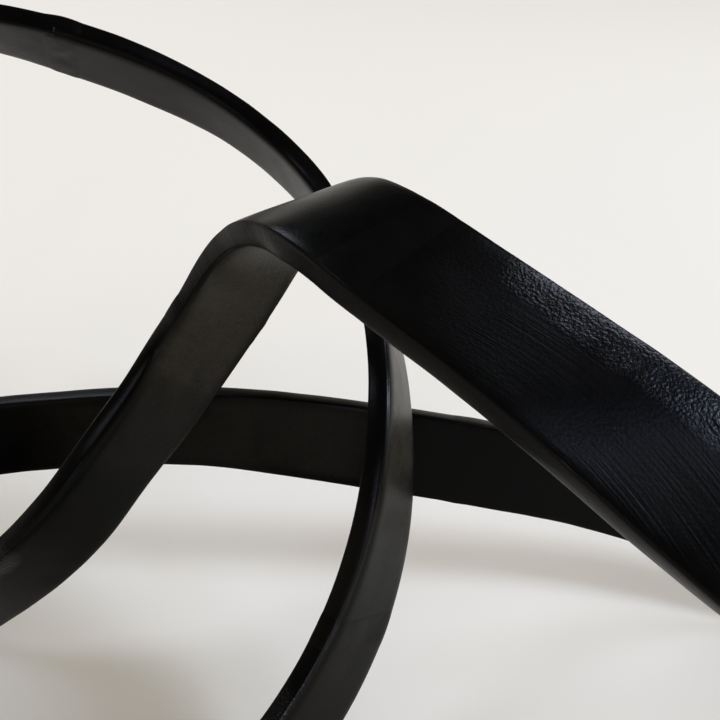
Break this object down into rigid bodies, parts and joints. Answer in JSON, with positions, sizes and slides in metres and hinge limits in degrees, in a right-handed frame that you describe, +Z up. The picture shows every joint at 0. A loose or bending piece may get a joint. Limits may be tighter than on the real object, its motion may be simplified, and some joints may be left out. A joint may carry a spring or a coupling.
{
  "type": "metal knot sculpture",
  "caption": "Free-standing knot of flat cast metal bar: one closed band in open loops, welded end to end from bent lengths, painted matt black.",
  "frame": {"origin": "On the table, under the middle of the knot's bounding box.", "axes": "+X along the knot to the right lobe, +Y away from the viewer, +Z up."},
  "size_m": [0.3358, 0.1805, 0.1461],
  "materials": {
    "painted_bar": "satin black paint over sand-cast metal",
    "painted_weld": "satin black paint over weld metal filed nearly flush"
  },
  "bodies": {
    "root": {"bar_back_arch": "painted_bar", "bar_front_foot": "painted_bar", "bar_back_rail": "painted_bar", "bar_right_foot": "painted_bar", "bar_front_ramp": "painted_bar", "bar_crest": "painted_bar", "bar_left_leg": "painted_bar", "bar_left_riser": "painted_bar", "weld_top_left": "painted_weld", "weld_arch_end": "painted_weld", "weld_front_left": "painted_weld", "weld_back_rail": "painted_weld", "weld_right_lobe": "painted_weld", "weld_crest_right": "painted_weld", "weld_crest_left": "painted_weld", "weld_left_lobe": "painted_weld"}
  },
  "joints": []
}
